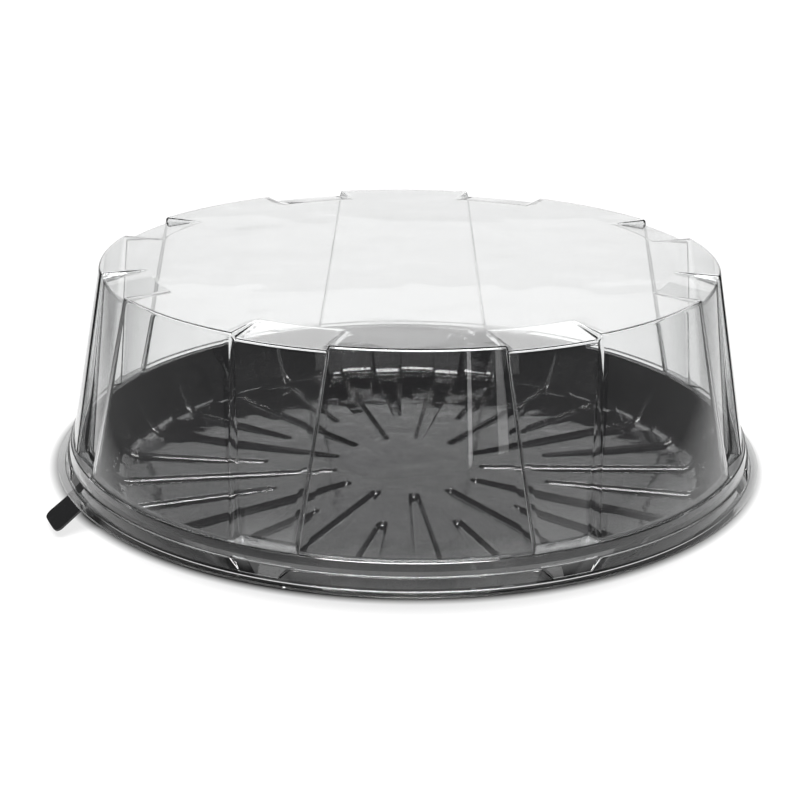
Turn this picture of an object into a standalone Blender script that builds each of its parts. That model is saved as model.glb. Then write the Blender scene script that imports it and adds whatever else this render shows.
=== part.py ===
"""Round humidity-dome tray: a black thermoformed tray under a clear, fluted snap-on dome.

The real object is two moulded sheets of plastic. The tray is a shallow round pan with 26 wedge
grooves pressed into its floor, a rolled rim and one lift tab. The dome is a flat-topped drum with
eight flutes, two ledges around its skirt, eight snap dents and a flat lip.

Frame: metres, +Z up, origin on the table plane at the centre of the tray. -Y is the front.
Angles are measured from the front towards +X.
"""
from math import atan2, cos, hypot, pi, radians, sin, sqrt, tan

import bmesh
import bpy
from mathutils import Vector

MM = 0.001

# Sheets
TRAY_SHEET = 0.8 * MM
DOME_SHEET = 0.8 * MM

# Dome lid: outer surface, heights above the table
DOME_TOP_Z = 97.9 * MM
DOME_TOP_R = 128.5 * MM
DOME_BASE_R = 143.0 * MM
DOME_EDGE_FILLET = 1.6 * MM
LEDGE_Z = 24.8 * MM
LEDGE_R = 144.2 * MM
BAND_STEP_Z = 19.6 * MM
BAND_1_FOOT_R = 145.2 * MM
BAND_2_HEAD_R = 145.8 * MM
BAND_2_FOOT_R = 146.9 * MM
LIP_TOP_Z = 14.6 * MM
LIP_R = 150.0 * MM

# Flutes of the dome
FLUTES = 8
FLUTE_RAMP_R = 109.5 * MM
FLUTE_SHOULDER_R = 127.5 * MM
FLUTE_SHOULDER_Z = 95.6 * MM
FLUTE_BASE_R = 138.5 * MM
FLUTE_BASE_Z = LEDGE_Z + 0.7 * MM
FLUTE_HALF_RAMP = radians(9.3)
FLUTE_HALF_TOP = radians(8.6)
FLUTE_HALF_BASE = radians(5.5)
FLUTE_SIDE_TOP = radians(0.5)
FLUTE_SIDE_BASE = radians(1.1)
PANEL_STEPS = 3

# Snap dents in the lower band, one under each flute
DENT_DEPTH = 1.5 * MM
DENT_ROOF_DROP = 0.5 * MM
DENT_HALF_HEAD = radians(4.9)
DENT_HALF_FOOT = radians(3.2)
DENT_SIDE = radians(0.35)
DENT_FOOT_Z = 15.6 * MM

# Tray: upper surface
FLOOR_R = 125.0 * MM
GROOVE_DEPTH = 2.0 * MM
FLOOR_Z = GROOVE_DEPTH + TRAY_SHEET
FLOOR_FILLET = 4.0 * MM
RIM_Z = 23.6 * MM
RIM_INNER_R = 138.3 * MM
RIM_OUTER_R = 142.0 * MM
RIM_FILLET = 1.1 * MM
RIM_SKIRT_FOOT_R = 142.8 * MM
RIM_SKIRT_FOOT_Z = 20.4 * MM

# Wedge grooves in the floor, long and short ones in turn
GROOVES = 26
GROOVE_PHASE = radians(3.5)
LONG_TIP_R = 31.5 * MM
LONG_TIP_HALF = 2.3 * MM
SHORT_TIP_R = 61.5 * MM
SHORT_TIP_HALF = 2.1 * MM
GROOVE_END_HALF = 7.3 * MM
GROOVE_SIDE_RUN = 2.0 * MM
GROOVE_TIP_RUN = 2.0 * MM
GROOVE_CORNER_R = 125.4 * MM
GROOVE_FILLET = 8.0 * MM
GROOVE_FADE_Z = 18.0 * MM
COLUMNS_PER_GROOVE = 5

# Lift tab: it hangs from the rim's skirt, below the groove nearest to TAB_ANGLE
TAB_ANGLE = radians(-65.7)
TAB_TIP_R = 158.4 * MM
TAB_TIP_Z = 3.7 * MM
TAB_KNEE_R = 146.2 * MM
TAB_KNEE_Z = 12.6 * MM
TAB_DROP_R = 143.0 * MM
TAB_DROP_Z = 15.6 * MM
TAB_CORNER = 3.2 * MM
TAB_CORNER_STATIONS = (1.0, 0.5, 0.13, 0.0)

SMOOTH_LIMIT = radians(24)


def clear_scene():
    """Remove every object of the scene that the script starts in."""
    for thing in list(bpy.data.objects):
        bpy.data.objects.remove(thing, do_unlink=True)


def polar(radius, angle, height):
    """Point at a radius, an angle from the front (-Y) towards +X, and a height."""
    return Vector((radius * sin(angle), -radius * cos(angle), height))


def fillet(before, corner, after, radius, steps):
    """Arc of steps + 1 points that rounds the corner of a (radius, height) outline."""
    back = Vector(before) - Vector(corner)
    ahead = Vector(after) - Vector(corner)
    back.normalize()
    ahead.normalize()
    half = back.angle(ahead) / 2
    centre = Vector(corner) + (back + ahead).normalized() * (radius / sin(half))
    first = (Vector(corner) + back * (radius / tan(half)) - centre).normalized()
    last = (Vector(corner) + ahead * (radius / tan(half)) - centre).normalized()
    points = []
    for step in range(steps + 1):
        spoke = first.slerp(last, step / steps)
        points.append(tuple(centre + spoke * radius))
    return points


def inner_offset(outline, thickness):
    """The other face of a sheet: the outline moved to its right-hand side, mitred at corners."""
    normals = []
    for (r0, z0), (r1, z1) in zip(outline, outline[1:]):
        length = hypot(r1 - r0, z1 - z0)
        normals.append(Vector(((z1 - z0) / length, -(r1 - r0) / length)))
    points = []
    for index, point in enumerate(outline):
        before = normals[max(index - 1, 0)]
        after = normals[min(index, len(normals) - 1)]
        mitre = (before + after).normalized()
        points.append(tuple(Vector(point) + mitre * (thickness / mitre.dot(after))))
    return points


def sheet_mesh(name, front_rings, back_rings, front_centre, back_centre):
    """Closed solid between two faces of rings that run from the centre out to a free edge."""
    bm = bmesh.new()
    count = len(front_rings[0])
    front = [[bm.verts.new(point) for point in ring] for ring in front_rings]
    back = [[bm.verts.new(point) for point in ring] for ring in back_rings]
    hub_front = bm.verts.new(front_centre)
    hub_back = bm.verts.new(back_centre)
    for here in range(count):
        there = (here + 1) % count
        bm.faces.new((hub_front, front[0][here], front[0][there]))
        bm.faces.new((hub_back, back[0][there], back[0][here]))
        for near, far in zip(front, front[1:]):
            bm.faces.new((near[here], far[here], far[there], near[there]))
        for near, far in zip(back, back[1:]):
            bm.faces.new((near[here], near[there], far[there], far[here]))
        bm.faces.new((front[-1][here], back[-1][here], back[-1][there], front[-1][there]))
    bmesh.ops.recalc_face_normals(bm, faces=bm.faces)
    mesh = bpy.data.meshes.new(name)
    bm.to_mesh(mesh)
    bm.free()
    return mesh


def add_object(name, mesh, material):
    """Link a smooth-shaded object that keeps its sharp creases."""
    mesh.materials.append(material)
    mesh.shade_smooth()
    mesh.set_sharp_from_angle(angle=SMOOTH_LIMIT)
    thing = bpy.data.objects.new(name, mesh)
    bpy.context.scene.collection.objects.link(thing)
    return thing


def plastic(name, colour, roughness, transmission=0.0):
    """Principled plastic."""
    material = bpy.data.materials.new(name)
    material.use_nodes = True
    shader = material.node_tree.nodes["Principled BSDF"]
    shader.inputs["Base Color"].default_value = (*colour, 1.0)
    shader.inputs["Roughness"].default_value = roughness
    shader.inputs["Metallic"].default_value = 0.0
    shader.inputs["Transmission Weight"].default_value = transmission
    return material


# ---------------------------------------------------------------- tray

def groove_half_width(radius, long_one):
    """Half the width of a wedge groove's mouth at a radius."""
    tip_r = LONG_TIP_R if long_one else SHORT_TIP_R
    tip_half = LONG_TIP_HALF if long_one else SHORT_TIP_HALF
    along = min(max((radius - tip_r) / (FLOOR_R - tip_r), 0.0), 1.0)
    return tip_half + (GROOVE_END_HALF - tip_half) * along


def rim_outline():
    """The tray's rim, from the top of its wall over the shelf to the skirt's free edge."""
    wall_foot = (FLOOR_R, FLOOR_Z)
    inner = (RIM_INNER_R, RIM_Z)
    outer = (RIM_OUTER_R, RIM_Z)
    foot = (RIM_SKIRT_FOOT_R, RIM_SKIRT_FOOT_Z)
    points = fillet(wall_foot, inner, outer, RIM_FILLET, 2)
    points += fillet(inner, outer, foot, RIM_FILLET, 2)
    points.append(foot)
    return points


def wall_fade_point():
    """Where a groove's end has run out into the plain wall."""
    along = (GROOVE_FADE_Z - FLOOR_Z) / (RIM_Z - FLOOR_Z)
    return (FLOOR_R + (RIM_INNER_R - FLOOR_R) * along, GROOVE_FADE_Z)


def land_outline(floor_stations):
    """Upper face of the tray between two grooves."""
    fade = wall_fade_point()
    points = [(radius, FLOOR_Z) for radius in floor_stations]
    points += fillet((0.0, FLOOR_Z), (FLOOR_R, FLOOR_Z), fade, FLOOR_FILLET, 3)
    points.append(fade)
    return points + rim_outline()


def groove_outline(floor_stations, long_one):
    """Upper face of the tray along the bottom of a groove."""
    tip_r = LONG_TIP_R if long_one else SHORT_TIP_R
    bottom = FLOOR_Z - GROOVE_DEPTH
    fade = wall_fade_point()
    points = [(radius, bottom if radius > tip_r else FLOOR_Z) for radius in floor_stations]
    points += fillet((0.0, bottom), (GROOVE_CORNER_R, bottom), fade, GROOVE_FILLET, 3)
    points.append(fade)
    return points + rim_outline()


def tray_columns():
    """Each column of the tray's mesh: its groove's angle, side, whether long, and its kind."""
    columns = []
    pitch = 2 * pi / GROOVES
    for number in range(GROOVES):
        centre = GROOVE_PHASE + number * pitch
        long_one = number % 2 == 0
        columns.append((centre - pitch / 2, 0, long_one, "land"))
        columns.append((centre, -1, long_one, "mouth"))
        columns.append((centre, -1, long_one, "bottom"))
        columns.append((centre, 1, long_one, "bottom"))
        columns.append((centre, 1, long_one, "mouth"))
    return columns


def tray_rings(underside):
    """Rings of points of the tray's upper or lower face, from the centre out."""
    floor_stations = [LONG_TIP_R, LONG_TIP_R + GROOVE_TIP_RUN,
                      SHORT_TIP_R, SHORT_TIP_R + GROOVE_TIP_RUN]
    outlines = {"land": land_outline(floor_stations)}
    for long_one in (True, False):
        outlines[long_one] = groove_outline(floor_stations, long_one)
    # The lower face's groove is wider by the mitre of the sheet at the groove's edges.
    side_slope = atan2(GROOVE_DEPTH, GROOVE_SIDE_RUN)
    widening = TRAY_SHEET * tan(side_slope / 2) if underside else 0.0
    if underside:
        outlines = {key: inner_offset(line, TRAY_SHEET) for key, line in outlines.items()}
    plan = groove_outline(floor_stations, True)
    rings = []
    for station in range(len(plan)):
        ring = []
        for centre, side, long_one, kind in tray_columns():
            outline = outlines[long_one] if kind == "bottom" else outlines["land"]
            radius, height = outline[station]
            half = groove_half_width(plan[station][0], long_one)
            if kind == "bottom":
                half -= GROOVE_SIDE_RUN
            angle = centre + side * (half + widening) / min(max(radius, LONG_TIP_R), FLOOR_R)
            ring.append(polar(radius, angle, height))
        rings.append(ring)
    return rings


def tab_outline():
    """Outer face of the tab: down from the skirt, a knee under the dome's lip, then the tip."""
    start = (RIM_SKIRT_FOOT_R, RIM_SKIRT_FOOT_Z)
    drop = (TAB_DROP_R, TAB_DROP_Z)
    knee = (TAB_KNEE_R, TAB_KNEE_Z)
    tip = (TAB_TIP_R, TAB_TIP_Z)
    points = [start, drop, knee]
    length = hypot(tip[0] - knee[0], tip[1] - knee[1])
    for station in TAB_CORNER_STATIONS:
        share = 1.0 - station * TAB_CORNER / length
        points.append((knee[0] + (tip[0] - knee[0]) * share, knee[1] + (tip[1] - knee[1]) * share))
    return points


def tab_inset(points, index):
    """How far the tab's side has rounded in at one point of its outline."""
    tip_r, tip_z = points[-1]
    left = hypot(tip_r - points[index][0], tip_z - points[index][1])
    if left >= TAB_CORNER:
        return 0.0
    return TAB_CORNER - sqrt(TAB_CORNER ** 2 - (TAB_CORNER - left) ** 2)


def grow_tab(mesh, columns_per_ring, ring_count):
    """Extrude the skirt's free edge into the lift tab, between one groove's two mouths."""
    pitch = 2 * pi / GROOVES
    number = round((TAB_ANGLE - GROOVE_PHASE) / pitch) % GROOVES
    first = number * COLUMNS_PER_GROOVE + 1
    front = [(ring_count - 1) * columns_per_ring + first + step for step in range(4)]
    back = [index + ring_count * columns_per_ring for index in front]
    outer = tab_outline()
    inner = inner_offset(outer, TRAY_SHEET)
    bm = bmesh.new()
    bm.from_mesh(mesh)
    bm.verts.ensure_lookup_table()
    low = [bm.verts[index] for index in front]
    high = [bm.verts[index] for index in back]
    angles = [atan2(vert.co.x, -vert.co.y) for vert in low]
    middle = (angles[0] + angles[-1]) / 2
    edge_faces = [bm.faces.get((low[a], high[a], high[a + 1], low[a + 1])) for a in range(3)]
    bmesh.ops.delete(bm, geom=edge_faces, context="FACES")
    for index in range(1, len(outer)):
        next_low = []
        next_high = []
        for angle in angles:
            half = abs(angle - middle)
            share = half / (angles[-1] - middle)
            squeeze = share * tab_inset(outer, index) / outer[index][0]
            turned = middle + (half - squeeze) * (1 if angle > middle else -1)
            next_low.append(bm.verts.new(polar(outer[index][0], turned, outer[index][1])))
            next_high.append(bm.verts.new(polar(inner[index][0], turned, inner[index][1])))
        for a in range(3):
            bm.faces.new((low[a], next_low[a], next_low[a + 1], low[a + 1]))
            bm.faces.new((high[a], high[a + 1], next_high[a + 1], next_high[a]))
        bm.faces.new((low[0], high[0], next_high[0], next_low[0]))
        bm.faces.new((low[3], next_low[3], next_high[3], high[3]))
        low, high = next_low, next_high
    for a in range(3):
        bm.faces.new((low[a], high[a], high[a + 1], low[a + 1]))
    bmesh.ops.recalc_face_normals(bm, faces=bm.faces)
    bm.to_mesh(mesh)
    bm.free()


def make_tray():
    """Black tray: grooved floor, sloping wall, rolled rim and lift tab."""
    upper = tray_rings(underside=False)
    lower = tray_rings(underside=True)
    mesh = sheet_mesh("tray", upper, lower, (0, 0, FLOOR_Z), (0, 0, FLOOR_Z - TRAY_SHEET))
    grow_tab(mesh, len(upper[0]), len(upper))
    return add_object("tray", mesh, plastic("black_plastic", (0.012, 0.012, 0.013), 0.12))


# ---------------------------------------------------------------- dome lid

def skirt_outline(dented=False):
    """Outer face of the dome's skirt from the upper ledge down to the lip's edge."""
    band_2_head = (BAND_2_HEAD_R, BAND_STEP_Z)
    if dented:
        band_2_head = (BAND_2_HEAD_R - DENT_DEPTH, BAND_STEP_Z - DENT_ROOF_DROP)
    return [
        (LEDGE_R, LEDGE_Z),
        (BAND_1_FOOT_R, BAND_STEP_Z),
        band_2_head,
        (band_2_foot_r(DENT_FOOT_Z), DENT_FOOT_Z),
        (BAND_2_FOOT_R, LIP_TOP_Z),
        (LIP_R, LIP_TOP_Z),
    ]


def band_2_foot_r(height):
    """Radius of the lower band's outer face at a height."""
    along = (BAND_STEP_Z - height) / (BAND_STEP_Z - LIP_TOP_Z)
    return BAND_2_HEAD_R + (BAND_2_FOOT_R - BAND_2_HEAD_R) * along


def panel_outline():
    """Outer face of the dome through the middle of a wide panel."""
    top = (DOME_TOP_R, DOME_TOP_Z)
    base = (DOME_BASE_R, LEDGE_Z)
    points = [(FLUTE_RAMP_R, DOME_TOP_Z)]
    points += fillet((0.0, DOME_TOP_Z), top, base, DOME_EDGE_FILLET, 2)
    points.append(base)
    return points + skirt_outline()


def flute_outline():
    """Outer face of the dome through the middle of a flute and the snap dent below it."""
    ramp = (FLUTE_RAMP_R, DOME_TOP_Z)
    shoulder = (FLUTE_SHOULDER_R, FLUTE_SHOULDER_Z)
    base = (FLUTE_BASE_R, FLUTE_BASE_Z)
    points = [ramp]
    points += fillet(ramp, shoulder, base, DOME_EDGE_FILLET, 2)
    points.append(base)
    return points + skirt_outline(dented=True)


def dome_columns():
    """Each column of the dome's mesh: its flute's angle, its side and its kind."""
    columns = []
    pitch = 2 * pi / FLUTES
    for number in range(FLUTES):
        centre = (number + 0.5) * pitch
        columns.append((centre - pitch / 2, 0, "panel", 0.0))
        for step in range(1, PANEL_STEPS):
            columns.append((centre, -1, "panel", 1.0 - step / PANEL_STEPS))
        columns.append((centre, -1, "mouth", 0.0))
        columns.append((centre, -1, "bed", 1.0))
        columns.append((centre, -1, "bed", 0.5))
        columns.append((centre, 0, "bed", 0.0))
        columns.append((centre, 1, "bed", 0.5))
        columns.append((centre, 1, "bed", 1.0))
        columns.append((centre, 1, "mouth", 0.0))
        for step in range(1, PANEL_STEPS):
            columns.append((centre, 1, "panel", step / PANEL_STEPS))
    return columns


def flute_half_angles(radius, height, inside):
    """Half angles of a flute's mouth and of its bed at one station."""
    if height >= LEDGE_Z:
        along = (FLUTE_SHOULDER_Z - height) / (FLUTE_SHOULDER_Z - LEDGE_Z)
        along = max(along, 0.0)
        mouth = FLUTE_HALF_TOP + (FLUTE_HALF_BASE - FLUTE_HALF_TOP) * along
        side = FLUTE_SIDE_TOP + (FLUTE_SIDE_BASE - FLUTE_SIDE_TOP) * along
        if radius <= FLUTE_RAMP_R:
            mouth = FLUTE_HALF_RAMP
    else:
        along = (BAND_STEP_Z - height) / (BAND_STEP_Z - DENT_FOOT_Z)
        along = min(max(along, 0.0), 1.0)
        mouth = DENT_HALF_HEAD + (DENT_HALF_FOOT - DENT_HALF_HEAD) * along
        side = DENT_SIDE
    if inside:
        mouth += 0.5 * DOME_SHEET / radius
    return mouth, mouth - side


def dome_rings(inside):
    """Rings of points of the dome's outer or inner face, from the centre out."""
    plan = panel_outline()
    outlines = {"panel": plan, "mouth": plan, "bed": flute_outline()}
    if inside:
        outlines = {key: inner_offset(line, DOME_SHEET) for key, line in outlines.items()}
    half_pitch = pi / FLUTES
    rings = []
    for station, (plan_r, plan_z) in enumerate(plan):
        mouth, bed = flute_half_angles(plan_r, plan_z, inside)
        ring = []
        for centre, side, kind, share in dome_columns():
            radius, height = outlines[kind][station]
            reach = {"panel": mouth + (half_pitch - mouth) * share, "mouth": mouth,
                     "bed": bed * share}[kind]
            ring.append(polar(radius, centre + side * reach, height))
        rings.append(ring)
    return rings


def make_dome():
    """Clear dome lid: flat top, eight flutes, ledged skirt with snap dents, flat lip."""
    outer = dome_rings(inside=False)
    inner = dome_rings(inside=True)
    mesh = sheet_mesh("dome_lid", outer, inner, (0, 0, DOME_TOP_Z), (0, 0, DOME_TOP_Z - DOME_SHEET))
    return add_object("dome_lid", mesh, plastic("clear_plastic", (0.93, 0.94, 0.95), 0.05, 1.0))


clear_scene()
make_tray()
make_dome()
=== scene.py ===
"""Looks of the round humidity-dome tray: a glossy black tray under a clear fluted dome.

Both visible pieces are fine meshes worked out from the same outlines as the CAD solids, with the
rounded folds, pressed grooves and thin sheet of real thermoformed plastic. They replace the two
CAD nodes. Lengths are in metres, +Z is up and -Y is the front; angles run from the front to +X.
"""

from math import cos, pi, radians, sin, tan

import bpy
import numpy as np
from mathutils import Matrix, Vector


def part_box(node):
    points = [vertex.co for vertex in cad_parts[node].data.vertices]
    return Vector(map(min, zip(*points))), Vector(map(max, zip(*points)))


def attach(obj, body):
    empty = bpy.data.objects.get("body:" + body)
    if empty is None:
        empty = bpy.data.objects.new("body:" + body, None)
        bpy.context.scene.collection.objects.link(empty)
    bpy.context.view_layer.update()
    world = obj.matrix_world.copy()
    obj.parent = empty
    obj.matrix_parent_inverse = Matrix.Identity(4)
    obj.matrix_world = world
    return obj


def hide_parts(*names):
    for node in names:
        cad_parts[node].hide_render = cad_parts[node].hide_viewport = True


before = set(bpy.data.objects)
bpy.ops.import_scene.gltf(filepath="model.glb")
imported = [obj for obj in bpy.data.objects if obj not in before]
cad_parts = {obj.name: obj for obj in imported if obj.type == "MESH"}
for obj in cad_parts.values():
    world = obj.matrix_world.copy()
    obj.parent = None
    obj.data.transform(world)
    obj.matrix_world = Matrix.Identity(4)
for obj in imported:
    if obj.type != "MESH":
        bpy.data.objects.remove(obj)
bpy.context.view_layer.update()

MM = 0.001
SHARP_FOLD = radians(35)

# Where a straight run has a point that holds the bend beside it, as a share of the run.
HOLD_SHARE = 0.01

# ---------------------------------------------------------------- measures taken from the frame

TRAY_LOW, TRAY_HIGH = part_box("tray")
DOME_LOW, DOME_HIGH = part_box("dome_lid")
GROUND_Z = TRAY_LOW[2]
LIP_R = DOME_HIGH[0]
LIP_FOOT_Z = DOME_LOW[2]
DOME_TOP_Z = DOME_HIGH[2]
RIM_Z = TRAY_HIGH[2]
SKIRT_FOOT_R = TRAY_HIGH[0]

# ---------------------------------------------------------------- dome

DOME_SHEET = 0.8 * MM
LIP_TOP_Z = LIP_FOOT_Z + 0.8 * MM
BAND_2_FOOT_R = LIP_R - 3.1 * MM
BAND_2_HEAD_R = LIP_R - 4.2 * MM
BAND_1_FOOT_R = LIP_R - 4.8 * MM
LEDGE_R = LIP_R - 5.8 * MM
DOME_BASE_R = LIP_R - 7.0 * MM
DOME_TOP_R = LIP_R - 21.5 * MM
BAND_STEP_Z = LIP_TOP_Z + 5.0 * MM
LEDGE_Z = LIP_TOP_Z + 10.2 * MM
SHOULDER_FILLET = 1.4 * MM
BASE_FILLET = 0.3 * MM
LEDGE_FILLET = 0.5 * MM
BAND_1_FILLET = 0.2 * MM
BAND_2_FILLET = 0.28 * MM
LIP_FILLET = 0.4 * MM

FLUTES = 8
FLUTE_RAMP_R = DOME_TOP_R - 19.0 * MM
FLUTE_SHOULDER_R = DOME_TOP_R - 1.0 * MM
FLUTE_SHOULDER_Z = DOME_TOP_Z - 2.3 * MM
FLUTE_BASE_R = DOME_BASE_R - 4.5 * MM
FLUTE_BASE_Z = LEDGE_Z + 0.7 * MM
FLUTE_HALF_RAMP = radians(9.3)
FLUTE_HALF_TOP = radians(8.6)
FLUTE_HALF_BASE = radians(5.5)
FLUTE_SIDE_TOP = radians(0.7)
FLUTE_SIDE_BASE = radians(1.2)

DENT_DEPTH = 1.5 * MM
DENT_ROOF_DROP = 0.5 * MM
DENT_HALF_HEAD = radians(4.9)
DENT_HALF_FOOT = radians(3.2)
DENT_SIDE = radians(0.45)
DENT_FOOT_Z = LIP_TOP_Z + 1.0 * MM

# ---------------------------------------------------------------- tray

TRAY_SHEET = 0.8 * MM
GROOVE_DEPTH = 2.0 * MM
FLOOR_Z = GROUND_Z + GROOVE_DEPTH + TRAY_SHEET
FLOOR_R = SKIRT_FOOT_R - 17.8 * MM
FLOOR_FILLET = 6.0 * MM
RIM_INNER_R = SKIRT_FOOT_R - 4.5 * MM
RIM_OUTER_R = SKIRT_FOOT_R - 0.8 * MM
RIM_FILLET = 1.1 * MM
RIM_SKIRT_FOOT_Z = RIM_Z - 3.2 * MM

GROOVES = 26
GROOVE_PHASE = radians(3.5)
LONG_TIP_R = 31.5 * MM
LONG_TIP_HALF = 2.3 * MM
SHORT_TIP_R = 61.5 * MM
SHORT_TIP_HALF = 2.1 * MM
# The stations of the mesh are close together over this length from each tip.
TIP_STATIONS = 3.2 * MM
GROOVE_END_HALF = 7.3 * MM
GROOVE_SIDE_RUN = 2.0 * MM
# A groove's side, from its mouth down to its bottom: (share of the run, share of the depth).
GROOVE_SIDE = ((0, 0), (0.04, 0.03), (0.09, 0.11), (0.16, 0.27), (0.24, 0.45), (0.31, 0.57),
               (0.40, 0.67), (0.52, 0.79), (0.64, 0.90), (0.74, 0.96), (0.85, 0.99), (1, 1))
GROOVE_TIP_ROUND = 2.1 * MM
GROOVE_CORNER_R = FLOOR_R + 0.4 * MM
GROOVE_FILLET = 8.0 * MM
GROOVE_FADE_Z = GROUND_Z + 18.0 * MM
# How much further out a groove's sides are on the underside of the sheet.
UNDERSIDE_WIDENING = 0.55 * TRAY_SHEET
HUB_R = 8.0 * MM

# The lift tab hangs from the rim's skirt, under the dome's lip.
TAB_ANGLE = radians(-65.7)
TAB_HALF_ANGLE = radians(3.4)
TAB_ROOT_Z = RIM_SKIRT_FOOT_Z + 0.5 * MM
TAB_DROP = (SKIRT_FOOT_R + 0.2 * MM, RIM_Z - 8.0 * MM)
TAB_KNEE = (SKIRT_FOOT_R + 3.4 * MM, RIM_Z - 11.0 * MM)
TAB_TIP = (SKIRT_FOOT_R + 15.6 * MM, RIM_Z - 19.9 * MM)
TAB_CORNER = 3.2 * MM
TAB_DROP_FILLET = 1.2 * MM
TAB_KNEE_FILLET = 4.0 * MM


# ---------------------------------------------------------------- outlines

def ease(share):
    """Soft step from 0 to 1, level at both ends."""
    share = np.clip(share, 0.0, 1.0)
    return share * share * (3.0 - 2.0 * share)


def run_shares(steps):
    """Shares along a straight run, with a first and a last one that hold the bends beside it."""
    if steps < 3:
        return [step / steps for step in range(1, steps)]
    middle = [step / (steps - 2) for step in range(1, steps - 2)]
    return [HOLD_SHARE, *middle, 1 - HOLD_SHARE]


def outline(corners):
    """Points of a (radius, height) outline.

    Each corner is (radius, height, fillet, arc steps, run steps), the last of them the number of
    steps in the straight run to the next corner. Two outlines with the same steps match point
    by point, so they can be blended.
    """
    points = []
    for index, (radius, height, fillet, arc_steps, run_steps) in enumerate(corners):
        here = Vector((radius, height))
        if fillet:
            back = (Vector(corners[index - 1][:2]) - here).normalized()
            ahead = (Vector(corners[index + 1][:2]) - here).normalized()
            half = back.angle(ahead) / 2
            centre = here + (back + ahead).normalized() * (fillet / sin(half))
            first = (here + back * (fillet / tan(half)) - centre).normalized()
            last = (here + ahead * (fillet / tan(half)) - centre).normalized()
            arc = [centre + first.slerp(last, step / arc_steps) * fillet
                   for step in range(arc_steps + 1)]
        else:
            arc = [here]
        if points:
            start = points[-1]
            points += [start.lerp(arc[0], share) for share in run_shares(corners[index - 1][4])]
        points += arc
    return np.array([tuple(point) for point in points])


def other_face(points, thickness):
    """The far face of a sheet: the outline moved to its right-hand side, mitred at corners."""
    run = np.diff(points, axis=0)
    length = np.hypot(run[:, 0], run[:, 1])[:, None]
    normal = np.c_[run[:, 1], -run[:, 0]] / length
    before = np.vstack([normal[:1], normal])
    after = np.vstack([normal, normal[-1:]])
    mitre = before + after
    mitre /= np.hypot(mitre[:, 0], mitre[:, 1])[:, None]
    return points + mitre * (thickness / (mitre * after).sum(1))[:, None]


def polar_grid(radius, angle, height):
    """Points of a grid of stations by columns, from its radii, angles and heights."""
    parts = np.broadcast_arrays(radius * np.sin(angle), -radius * np.cos(angle), height)
    return np.stack(parts, axis=-1)


def sheet_faces(stations, columns):
    """Quads of a closed sheet: a front and a back grid, two hub fans and the free edge."""
    here = np.arange(columns)
    there = (here + 1) % columns
    ring = np.arange(stations - 1)[:, None] * columns
    back = stations * columns
    front_quads = np.stack([ring + here, ring + columns + here,
                            ring + columns + there, ring + there], axis=-1).reshape(-1, 4)
    back_quads = front_quads[:, ::-1] + back
    rim = (stations - 1) * columns
    rim_quads = np.stack([rim + here, back + rim + here, back + rim + there, rim + there], axis=-1)
    hub_front = 2 * back
    front_fan = [(hub_front, a, b) for a, b in zip(here.tolist(), there.tolist())]
    back_fan = [(hub_front + 1, back + b, back + a) for a, b in zip(here.tolist(), there.tolist())]
    quads = np.vstack([front_quads, back_quads, rim_quads]).tolist()
    return quads + front_fan + back_fan


def add_piece(name, points, faces, body, material):
    """Smooth-shaded piece that rides on a body and replaces the node of the same name."""
    mesh = bpy.data.meshes.new(name)
    mesh.from_pydata(points.tolist(), [], faces)
    mesh.validate()
    mesh.shade_smooth()
    mesh.set_sharp_from_angle(angle=SHARP_FOLD)
    mesh.materials.append(material)
    piece = bpy.data.objects.new(name, mesh)
    bpy.context.scene.collection.objects.link(piece)
    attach(piece, body)
    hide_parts(body)
    return piece


def sheet_points(front, back, hub_z, sheet):
    """Points of a closed round sheet: its two faces and the two points on its axis."""
    hubs = [(0.0, 0.0, hub_z), (0.0, 0.0, hub_z - sheet)]
    return np.vstack([front.reshape(-1, 3), back.reshape(-1, 3), hubs])


# ---------------------------------------------------------------- dome lid

def dome_outline(shoulder, base, band_2_head):
    """Outer face of the dome from its hub over a shoulder and down its wall and skirt."""
    foot_share = (BAND_STEP_Z - DENT_FOOT_Z) / (BAND_STEP_Z - LIP_TOP_Z)
    foot_r = BAND_2_HEAD_R + (BAND_2_FOOT_R - BAND_2_HEAD_R) * foot_share
    return outline([
        (HUB_R, DOME_TOP_Z, 0, 0, 9),
        (FLUTE_RAMP_R, DOME_TOP_Z, 0, 0, 6),
        (*shoulder, SHOULDER_FILLET, 6, 15),
        (*base, BASE_FILLET, 4, 1),
        (LEDGE_R, LEDGE_Z, LEDGE_FILLET, 4, 3),
        (BAND_1_FOOT_R, BAND_STEP_Z, BAND_1_FILLET, 3, 1),
        (*band_2_head, BAND_2_FILLET, 4, 4),
        (foot_r, DENT_FOOT_Z, 0, 0, 1),
        (BAND_2_FOOT_R, LIP_TOP_Z, LIP_FILLET, 4, 2),
        (LIP_R, LIP_TOP_Z, 0, 0, 0),
    ])


def panel_face():
    """Through the middle of a wide panel."""
    return dome_outline((DOME_TOP_R, DOME_TOP_Z), (DOME_BASE_R, LEDGE_Z),
                        (BAND_2_HEAD_R, BAND_STEP_Z))


def flute_face():
    """Through the middle of a flute, with its ramp, its foot ledge and its snap dent."""
    return dome_outline((FLUTE_SHOULDER_R, FLUTE_SHOULDER_Z), (FLUTE_BASE_R, FLUTE_BASE_Z),
                        (BAND_2_HEAD_R - DENT_DEPTH, BAND_STEP_Z - DENT_ROOF_DROP))


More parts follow.
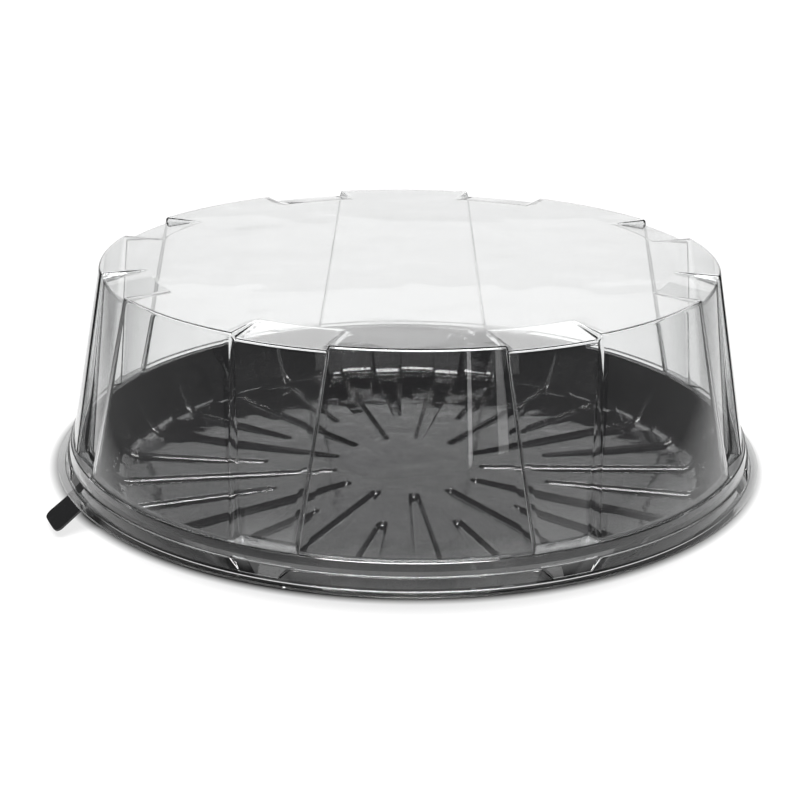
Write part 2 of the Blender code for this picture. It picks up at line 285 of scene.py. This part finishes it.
def flute_plan(face, inside):
    """Half angles of a flute's mouth and bed at each station of the panel's face."""
    radius, height = face[:, 0], face[:, 1]
    down = np.clip((FLUTE_SHOULDER_Z - height) / (FLUTE_SHOULDER_Z - LEDGE_Z), 0.0, 1.0)
    mouth = FLUTE_HALF_TOP + (FLUTE_HALF_BASE - FLUTE_HALF_TOP) * down
    side = FLUTE_SIDE_TOP + (FLUTE_SIDE_BASE - FLUTE_SIDE_TOP) * down
    out = np.clip((radius - FLUTE_RAMP_R) / (DOME_TOP_R - FLUTE_RAMP_R), 0.0, 1.0)
    mouth += (FLUTE_HALF_RAMP - FLUTE_HALF_TOP) * (1.0 - out)
    skirt = height < LEDGE_Z - 1.2 * MM  # below the rounded edge of the ledge
    fall = np.clip((BAND_STEP_Z - height) / (BAND_STEP_Z - DENT_FOOT_Z), 0.0, 1.0)
    mouth = np.where(skirt, DENT_HALF_HEAD + (DENT_HALF_FOOT - DENT_HALF_HEAD) * fall, mouth)
    side = np.where(skirt, DENT_SIDE, side)
    if inside:
        mouth = mouth + 0.5 * DOME_SHEET / np.maximum(radius, FLUTE_RAMP_R)
    return mouth[:, None], (mouth - side)[:, None]


def dome_grid(inside):
    """One face of the dome: wide panels blended into flutes around the axis."""
    panel, flute = panel_face(), flute_face()
    mouth, bed = flute_plan(panel, inside)
    if inside:
        panel = other_face(panel, DOME_SHEET)
        flute = other_face(flute, DOME_SHEET)
    half_pitch = pi / FLUTES
    land = np.linspace(0.0, 1.0, 15)[:-1]
    side = np.linspace(0.0, 1.0, 9)[:-1]
    floor = np.linspace(-1.0, 1.0, 13)
    left = -half_pitch + (half_pitch - mouth) * land
    left_side = -mouth + (mouth - bed) * side
    across = np.hstack([left, left_side, bed * floor, -left_side[:, ::-1], -left[:, :0:-1]])
    depth = np.hstack([land * 0, ease(side), floor * 0 + 1, ease(side)[::-1], land[1:] * 0])
    angle = np.hstack([across + (number + 0.5) * 2 * half_pitch for number in range(FLUTES)])
    depth = np.tile(depth, FLUTES)
    radius = panel[:, :1] * (1 - depth) + flute[:, :1] * depth
    height = panel[:, 1:] * (1 - depth) + flute[:, 1:] * depth
    return polar_grid(radius, angle, height)


def make_dome(material):
    """Clear dome lid as one thin sheet."""
    outer, inner = dome_grid(False), dome_grid(True)
    points = sheet_points(outer, inner, DOME_TOP_Z, DOME_SHEET)
    faces = sheet_faces(*outer.shape[:2])
    dome = add_piece("dome_sheet", points, faces, "dome_lid", material)
    # Light passes through the clear sheet without a shadow or a cast of its own.
    dome.visible_shadow = False
    dome.visible_diffuse = False


# ---------------------------------------------------------------- tray

def tray_outline(floor_height, corner_r, fillet):
    """Upper face of the tray from its hub out over the floor, up the wall and over the rim."""
    share = (GROOVE_FADE_Z - FLOOR_Z) / (RIM_Z - FLOOR_Z)
    fade_r = FLOOR_R + (RIM_INNER_R - FLOOR_R) * share
    return outline([
        (HUB_R, floor_height, 0, 0, 3),
        (LONG_TIP_R, floor_height, 0, 0, 8),
        (LONG_TIP_R + TIP_STATIONS, floor_height, 0, 0, 5),
        (SHORT_TIP_R, floor_height, 0, 0, 8),
        (SHORT_TIP_R + TIP_STATIONS, floor_height, 0, 0, 7),
        (corner_r, floor_height, fillet, 7, 3),
        (fade_r, GROOVE_FADE_Z, 0, 0, 4),
        (RIM_INNER_R, RIM_Z, RIM_FILLET, 5, 1),
        (RIM_OUTER_R, RIM_Z, RIM_FILLET, 5, 3),
        (SKIRT_FOOT_R, RIM_SKIRT_FOOT_Z, 0, 0, 0),
    ])


def groove_half_width(radius, long_one):
    """Half the width of a wedge groove's mouth at each radius."""
    tip_r = LONG_TIP_R if long_one else SHORT_TIP_R
    tip_half = LONG_TIP_HALF if long_one else SHORT_TIP_HALF
    along = np.clip((radius - tip_r) / (FLOOR_R - tip_r), 0.0, 1.0)
    return tip_half + (GROOVE_END_HALF - tip_half) * along


def groove_section(share):
    """Depth share across a groove's side: a steep upper part, a slope and a soft lower fold."""
    return np.interp(share, *zip(*GROOVE_SIDE))


def groove_depth(lateral, half, past_tip):
    """Share of the full depth, from the distances to the groove's side and to its round tip."""
    to_side = half - lateral
    to_tip = past_tip + 0 * to_side
    corner = np.hypot(np.maximum(GROOVE_TIP_ROUND - to_side, 0.0),
                      np.maximum(GROOVE_TIP_ROUND - to_tip, 0.0))
    rounded = GROOVE_TIP_ROUND - corner
    inside = np.where(corner > 0, rounded, np.minimum(to_side, to_tip))
    return groove_section(inside / GROOVE_SIDE_RUN)


def tray_grid(underside):
    """One face of the tray: lands blended into long and short grooves around the axis."""
    land = tray_outline(FLOOR_Z, FLOOR_R, FLOOR_FILLET)
    groove = tray_outline(FLOOR_Z - GROOVE_DEPTH, GROOVE_CORNER_R, GROOVE_FILLET)
    plan_r = groove[:, :1].copy()
    widening = 0.0
    if underside:
        land, groove = other_face(land, TRAY_SHEET), other_face(groove, TRAY_SHEET)
        widening = UNDERSIDE_WIDENING
    pitch = 2 * pi / GROOVES
    between = np.linspace(0.0, 1.0, 4)[:-1]
    side = np.array([share for share, depth in GROOVE_SIDE])
    bottom = np.linspace(-1.0, 1.0, 5)[1:-1]
    angles, depths = [], []
    spread = np.clip(plan_r, LONG_TIP_R, FLOOR_R)
    for number in range(GROOVES):
        long_one = number % 2 == 0
        tip_r = LONG_TIP_R if long_one else SHORT_TIP_R
        half = groove_half_width(plan_r, long_one) + widening
        bed = half - GROOVE_SIDE_RUN
        edge = pitch / 2 * spread
        left = -edge + (edge - half) * between
        left_side = -half + (half - bed) * side
        lateral = np.hstack([left, left_side, bed * bottom, -left_side[:, ::-1], -left[:, :0:-1]])
        past_tip = plan_r - tip_r + widening
        depths.append(groove_depth(np.abs(lateral), half, past_tip))
        angles.append(lateral / spread + GROOVE_PHASE + number * pitch)
    depth, angle = np.hstack(depths), np.hstack(angles)
    radius = land[:, :1] * (1 - depth) + groove[:, :1] * depth
    height = land[:, 1:] * (1 - depth) + groove[:, 1:] * depth
    return polar_grid(radius, angle, height)


def tab_corners():
    """Rows of the tab's end as (distance from the tip, how far its sides have rounded in)."""
    turns = np.linspace(0.0, pi / 2, 9).tolist()
    return [(TAB_CORNER * (1 - sin(turn)), TAB_CORNER * (1 - cos(turn))) for turn in turns]


def tab_grid(outline_points, back_off):
    """One face of the lift tab along its (radius, height) outline."""
    across = np.linspace(-1.0, 1.0, 13)
    half = TAB_HALF_ANGLE * outline_points[:, :1] - back_off[:, None]
    angle = TAB_ANGLE + across * half / outline_points[:, :1]
    return polar_grid(outline_points[:, :1], angle, outline_points[:, 1:])


def tab_faces(rows, columns):
    """Quads of the tab: its two faces and the band around their edge."""
    ring = np.arange(rows - 1)[:, None] * columns
    here = np.arange(columns - 1)
    quads = np.stack([ring + here, ring + columns + here, ring + columns + here + 1,
                      ring + here + 1], axis=-1).reshape(-1, 4)
    count = rows * columns
    edge = list(range(columns)) + [row * columns + columns - 1 for row in range(1, rows)]
    edge += [count - 1 - step for step in range(1, columns)]
    edge += [row * columns for row in range(rows - 2, 0, -1)]
    band = [(a, b, b + count, a + count) for a, b in zip(edge, edge[1:] + edge[:1])]
    return quads.tolist() + (quads[:, ::-1] + count).tolist() + band


def make_tab(material):
    """Lift tab: down from the skirt, out under the dome's lip and down to its rounded end."""
    run = outline([
        (SKIRT_FOOT_R, TAB_ROOT_Z, 0, 0, 3),
        (*TAB_DROP, TAB_DROP_FILLET, 5, 2),
        (*TAB_KNEE, TAB_KNEE_FILLET, 6, 8),
        (*TAB_TIP, 0, 0, 0),
    ])
    slope = (Vector(TAB_KNEE) - Vector(TAB_TIP)).normalized()
    straight = run[np.hypot(*(run - run[-1]).T) > TAB_CORNER]
    end = [tuple(Vector(TAB_TIP) + slope * back) for back, inset in tab_corners()]
    inset = np.r_[np.zeros(len(straight)), [inset for back, inset in tab_corners()]]
    upper = np.vstack([straight, end])
    lower = other_face(upper, TRAY_SHEET)
    front, back = tab_grid(upper, inset), tab_grid(lower, inset)
    points = np.vstack([front.reshape(-1, 3), back.reshape(-1, 3)])
    faces = tab_faces(*front.shape[:2])
    add_piece("tray_tab", points, faces, "tray", material)


def make_tray(material):
    """Black tray as one pressed sheet."""
    upper, lower = tray_grid(False), tray_grid(True)
    points = sheet_points(upper, lower, FLOOR_Z, TRAY_SHEET)
    faces = sheet_faces(*upper.shape[:2])
    add_piece("tray_sheet", points, faces, "tray", material)


# ---------------------------------------------------------------- materials

# The colour sockets of a Mix node: its A and B inputs and its result.
MIX_A, MIX_B, MIX_RESULT = 6, 7, 2


def new_material(name):
    """Node material with a Principled shader; returns it with its nodes, links and shader."""
    material = bpy.data.materials.new(name)
    material.use_nodes = True
    nodes = material.node_tree.nodes
    return material, nodes, material.node_tree.links, nodes["Principled BSDF"]


def object_noise(nodes, links, scale, detail, stretch=(1, 1, 1)):
    """Noise in the object's own metres, scale being waves per metre."""
    place = nodes.new("ShaderNodeTexCoord")
    mapping = nodes.new("ShaderNodeMapping")
    mapping.inputs["Scale"].default_value = stretch
    noise = nodes.new("ShaderNodeTexNoise")
    noise.inputs["Scale"].default_value = scale
    noise.inputs["Detail"].default_value = detail
    links.new(place.outputs["Object"], mapping.inputs["Vector"])
    links.new(mapping.outputs["Vector"], noise.inputs["Vector"])
    return noise.outputs["Fac"]


def mapped(nodes, links, value, low, high, out_low, out_high):
    """A value taken from low..high to out_low..out_high, and clamped."""
    ramp = nodes.new("ShaderNodeMapRange")
    ramp.inputs["From Min"].default_value = low
    ramp.inputs["From Max"].default_value = high
    ramp.inputs["To Min"].default_value = out_low
    ramp.inputs["To Max"].default_value = out_high
    links.new(value, ramp.inputs["Value"])
    return ramp.outputs["Result"]


def mixed_colour(nodes, links, share, first, second):
    """First colour blended into the second by a share from 0 to 1."""
    mix = nodes.new("ShaderNodeMix")
    mix.data_type = "RGBA"
    mix.inputs[MIX_A].default_value = (*first, 1)
    mix.inputs[MIX_B].default_value = (*second, 1)
    links.new(share, mix.inputs["Factor"])
    return mix.outputs[MIX_RESULT]


def blended_colour(nodes, links, share, first, second):
    """A colour from a node blended into a fixed one by a share from 0 to 1."""
    mix = nodes.new("ShaderNodeMix")
    mix.data_type = "RGBA"
    mix.inputs[MIX_B].default_value = (*second, 1)
    links.new(first, mix.inputs[MIX_A])
    links.new(share, mix.inputs["Factor"])
    return mix.outputs[MIX_RESULT]


def added(nodes, links, first, second):
    """Sum of two values."""
    total = nodes.new("ShaderNodeMath")
    total.operation = "ADD"
    links.new(first, total.inputs[0])
    links.new(second, total.inputs[1])
    return total.outputs["Value"]


def larger(nodes, links, first, second):
    """The larger of two values."""
    pick = nodes.new("ShaderNodeMath")
    pick.operation = "MAXIMUM"
    links.new(first, pick.inputs[0])
    links.new(second, pick.inputs[1])
    return pick.outputs["Value"]


def bumps(nodes, links, shader, *layers):
    """Chain of bumps under the shader, each layer a height and the distance it moves, in metres."""
    normal = None
    for height, distance in layers:
        bump = nodes.new("ShaderNodeBump")
        bump.inputs["Strength"].default_value = 1.0
        bump.inputs["Distance"].default_value = distance
        links.new(height, bump.inputs["Height"])
        if normal:
            links.new(normal, bump.inputs["Normal"])
        normal = bump.outputs["Normal"]
    links.new(normal, shader.inputs["Normal"])


def black_plastic():
    """Glossy black thermoformed sheet with a little dust, haze and drawing waviness."""
    material, nodes, links, shader = new_material("black_plastic")
    dust = mapped(nodes, links, object_noise(nodes, links, 2600, 3), 0.62, 0.80, 0.0, 1.0)
    colour = mixed_colour(nodes, links, dust, (0.009, 0.009, 0.0095), (0.075, 0.075, 0.078))
    haze = mapped(nodes, links, object_noise(nodes, links, 45, 5), 0.3, 0.75, 0.03, 0.075)
    specks = mapped(nodes, links, object_noise(nodes, links, 1500, 2), 0.55, 0.85, 0.0, 0.10)
    links.new(colour, shader.inputs["Base Color"])
    links.new(added(nodes, links, haze, specks), shader.inputs["Roughness"])
    bumps(nodes, links, shader,
          (object_noise(nodes, links, 55, 2), 0.00045),
          (object_noise(nodes, links, 420, 3), 0.00003))
    shader.inputs["IOR"].default_value = 1.54
    return material


def clear_plastic():
    """Clear sheet: greyer at a glancing view, gently wavy from forming, with faint haze."""
    material, nodes, links, shader = new_material("clear_plastic")
    facing = nodes.new("ShaderNodeLayerWeight")
    facing.inputs["Blend"].default_value = 0.5
    face_on = mapped(nodes, links, facing.outputs["Facing"], 0.42, 0.72, 0.0, 1.0)
    edge_on = mapped(nodes, links, facing.outputs["Facing"], 0.80, 1.0, 0.0, 1.0)
    smear = mapped(nodes, links, object_noise(nodes, links, 30, 4), 0.35, 0.75, 0.0, 1.0)
    clean = mixed_colour(nodes, links, smear, (0.95, 0.955, 0.955), (0.92, 0.925, 0.925))
    slanting = blended_colour(nodes, links, face_on, clean, (0.58, 0.585, 0.585))
    colour = blended_colour(nodes, links, edge_on, slanting, (0.35, 0.355, 0.355))
    haze = mapped(nodes, links, object_noise(nodes, links, 70, 5), 0.45, 0.8, 0.0, 0.05)
    links.new(colour, shader.inputs["Base Color"])
    links.new(haze, shader.inputs["Roughness"])
    bumps(nodes, links, shader, (object_noise(nodes, links, 26, 1, (1, 1, 0.4)), 0.00018))
    shader.inputs["IOR"].default_value = 1.54
    shader.inputs["Transmission Weight"].default_value = 1.0
    return material


# ---------------------------------------------------------------- studio

FLOOR_SIZE = 24.0

# Painted pool of light: how the floor's colour and glow darken away from the object, to the right,
# to the left and to the front: (X share, Y share, start of the darkening, its width).
PAINTED_LIGHT_FADES = ((1.0, -0.265, 0.178, 0.28), (-1.0, -0.225, 0.185, 0.15), (0.0, -1.0, 0.27, 0.42))

# Painted shadow of the object on the floor, where the floor's glow is left out: a circle a little
# wider than the lip, set backwards as if cast. Its front edge is crisp and its back edge is soft.
PAINTED_SHADOW_BACK = 33.0 * MM
PAINTED_SHADOW_R = LIP_R + 7.5 * MM
PAINTED_SHADOW_END = PAINTED_SHADOW_BACK + PAINTED_SHADOW_R + 10.0 * MM

# The soft boxes behind, stacked from the floor up: (lower edge, upper edge, radiance). The top
# of the dome mirrors the lower three, the tray's floor the fourth, the flutes' ramps the last.
BACK_Y = 6.0
BACK_WIDTH = 5.8
BACK_BOXES = ((0.3, 1.5, 1.0), (1.5, 1.8, 1.12), (1.8, 2.08, 1.3), (2.08, 3.3, 0.9),
              (3.3, 7.4, 2.4))

# Upright strips at the right front, mirrored by the front panel: (degrees, width, radiance).
STRIPS = ((18.2, 0.05, 1.9), (28.8, 0.12, 1.1))
STRIP_DISTANCE = 2.2
STRIP_HEIGHT = 0.9
STRIP_Z = 0.5


def painted_light_fade(nodes, links):
    """Share of the painted fall-off of light, from 0 round and behind the object to 1 far out, and
    the way back (Y).
    """
    place = nodes.new("ShaderNodeTexCoord")
    split = nodes.new("ShaderNodeSeparateXYZ")
    links.new(place.outputs["Object"], split.inputs["Vector"])
    sums = []
    for across, along, start, width in PAINTED_LIGHT_FADES:
        side = nodes.new("ShaderNodeMath")
        side.operation = "MULTIPLY"
        side.inputs[1].default_value = across
        links.new(split.outputs["X"], side.inputs[0])
        both = nodes.new("ShaderNodeMath")
        both.operation = "MULTIPLY_ADD"
        both.inputs[1].default_value = along
        links.new(split.outputs["Y"], both.inputs[0])
        links.new(side.outputs["Value"], both.inputs[2])
        sums.append(mapped(nodes, links, both.outputs["Value"], start, start + width, 0.0, 1.0))
    widest = larger(nodes, links, larger(nodes, links, sums[0], sums[1]), sums[2])
    return widest, split.outputs["Y"]


def distance_from(nodes, links, centre):
    """Distance from a point of the floor, in metres."""
    place = nodes.new("ShaderNodeTexCoord")
    away = nodes.new("ShaderNodeVectorMath")
    away.operation = "DISTANCE"
    away.inputs[1].default_value = centre
    links.new(place.outputs["Object"], away.inputs[0])
    return away.outputs["Value"]


def floor_glow_and_painted_shadow(nodes, links, far_back):
    """The floor's own glow: none in a painted shadow under the object and just behind it."""
    # Painted shadow: the glow is left out within a circle round a point a little behind the object.
    painted_shadow_distance = distance_from(nodes, links, (0, PAINTED_SHADOW_BACK, 0))
    outside_painted_shadow = larger(nodes, links,
                     mapped(nodes, links, painted_shadow_distance, PAINTED_SHADOW_R - MM, PAINTED_SHADOW_R + 4 * MM, 0.0, 1.0),
                     mapped(nodes, links, distance_from(nodes, links, (0, 0, 0)),
                            LIP_R, PAINTED_SHADOW_END, 0.0, 1.0))
    glow = nodes.new("ShaderNodeMath")
    glow.operation = "MULTIPLY"
    links.new(outside_painted_shadow, glow.inputs[0])
    links.new(mapped(nodes, links, far_back, 0.3, 1.8, 3.9, 4.8), glow.inputs[1])
    return glow.outputs["Value"]


def make_floor():
    """Plain pale floor, with a little light of its own that keeps its shadows soft, a painted pool
    of light that darkens farther from the object, and a painted shadow under and just behind it.
    """
    bpy.ops.mesh.primitive_plane_add(size=FLOOR_SIZE, location=(0, 0, GROUND_Z))
    floor = bpy.context.object
    floor.name = "studio_floor"
    material, nodes, links, shader = new_material("studio_floor")
    painted_falloff_share, far_back = painted_light_fade(nodes, links)
    # Painted pool of light: the floor's colour and glow are paler round the object and darker
    # farther out.
    colour = mixed_colour(nodes, links, painted_falloff_share, (0.20, 0.20, 0.20), (0.030, 0.030, 0.030))
    links.new(colour, shader.inputs["Base Color"])
    links.new(colour, shader.inputs["Emission Color"])
    # The glow is left out where the object's shadow is painted.
    links.new(floor_glow_and_painted_shadow(nodes, links, far_back), shader.inputs["Emission Strength"])
    shader.inputs["Roughness"].default_value = 0.9
    shader.inputs["Specular IOR Level"].default_value = 0.1
    floor.data.materials.append(material)


def soft_light(name, place, aim, size, radiance):
    """Rectangular area light; radiance is what it looks like when it is mirrored."""
    data = bpy.data.lights.new(name, "AREA")
    data.shape = "RECTANGLE"
    data.size, data.size_y = size
    data.energy = radiance * pi * size[0] * size[1]
    lamp = bpy.data.objects.new(name, data)
    lamp.location = place
    lamp.rotation_euler = (Vector(aim) - Vector(place)).to_track_quat("-Z", "Y").to_euler()
    bpy.context.scene.collection.objects.link(lamp)


def make_studio():
    """Dark surroundings, a lamp high in front, soft boxes behind and in front, two strips."""
    world = bpy.data.worlds.new("studio")
    world.use_nodes = True
    sky = world.node_tree.nodes["Background"]
    sky.inputs["Color"].default_value = (1, 1, 1, 1)
    sky.inputs["Strength"].default_value = 0.07
    bpy.context.scene.world = world
    soft_light("lamp", (0, -1.12, 2.4), (0, 0, 0), (2.0, 1.05), 17.0)
    for low, high, radiance in BACK_BOXES:
        middle = (low + high) / 2
        soft_light("behind", (0, BACK_Y, middle), (0, 0, middle), (BACK_WIDTH, high - low), radiance)
    soft_light("high_front", (0, -2.2, 1.9), (0, 0, 0.05), (5.0, 1.2), 1.0)
    for degrees, width, radiance in STRIPS:
        turn = radians(degrees)
        place = (STRIP_DISTANCE * sin(turn), -STRIP_DISTANCE * cos(turn), STRIP_Z)
        soft_light("strip", place, (0, 0, STRIP_Z), (width, STRIP_HEIGHT), radiance)
    bpy.context.scene.view_settings.view_transform = "Standard"


def make_camera():
    """Long-lens camera a little above the dome, turned a hair to the left."""
    azimuth, elevation, roll = radians(-1.14), radians(19.86), radians(0.549)
    distance = 4.55 * LIP_R
    aim = Vector((-0.0236 * LIP_R, 0, LIP_FOOT_Z + 0.35 * MM + 0.1257 * LIP_R))
    turn = Matrix.Rotation(azimuth, 3, "Z")
    back = Vector((0, -cos(elevation), sin(elevation)))
    right = Vector((1, 0, 0))
    up = back.cross(right)
    axes = [right * cos(roll) + up * sin(roll), up * cos(roll) - right * sin(roll), back]
    camera_data = bpy.data.cameras.new("camera")
    camera_data.sensor_width = 36
    camera_data.lens = 70.76
    camera = bpy.data.objects.new("camera", camera_data)
    matrix = (turn @ Matrix(axes).transposed()).to_4x4()
    matrix.translation = turn @ (aim + back * distance)
    camera.matrix_world = matrix
    bpy.context.scene.collection.objects.link(camera)
    bpy.context.scene.camera = camera


make_camera()
make_studio()
make_floor()
black = black_plastic()
make_tray(black)
make_tab(black)
make_dome(clear_plastic())
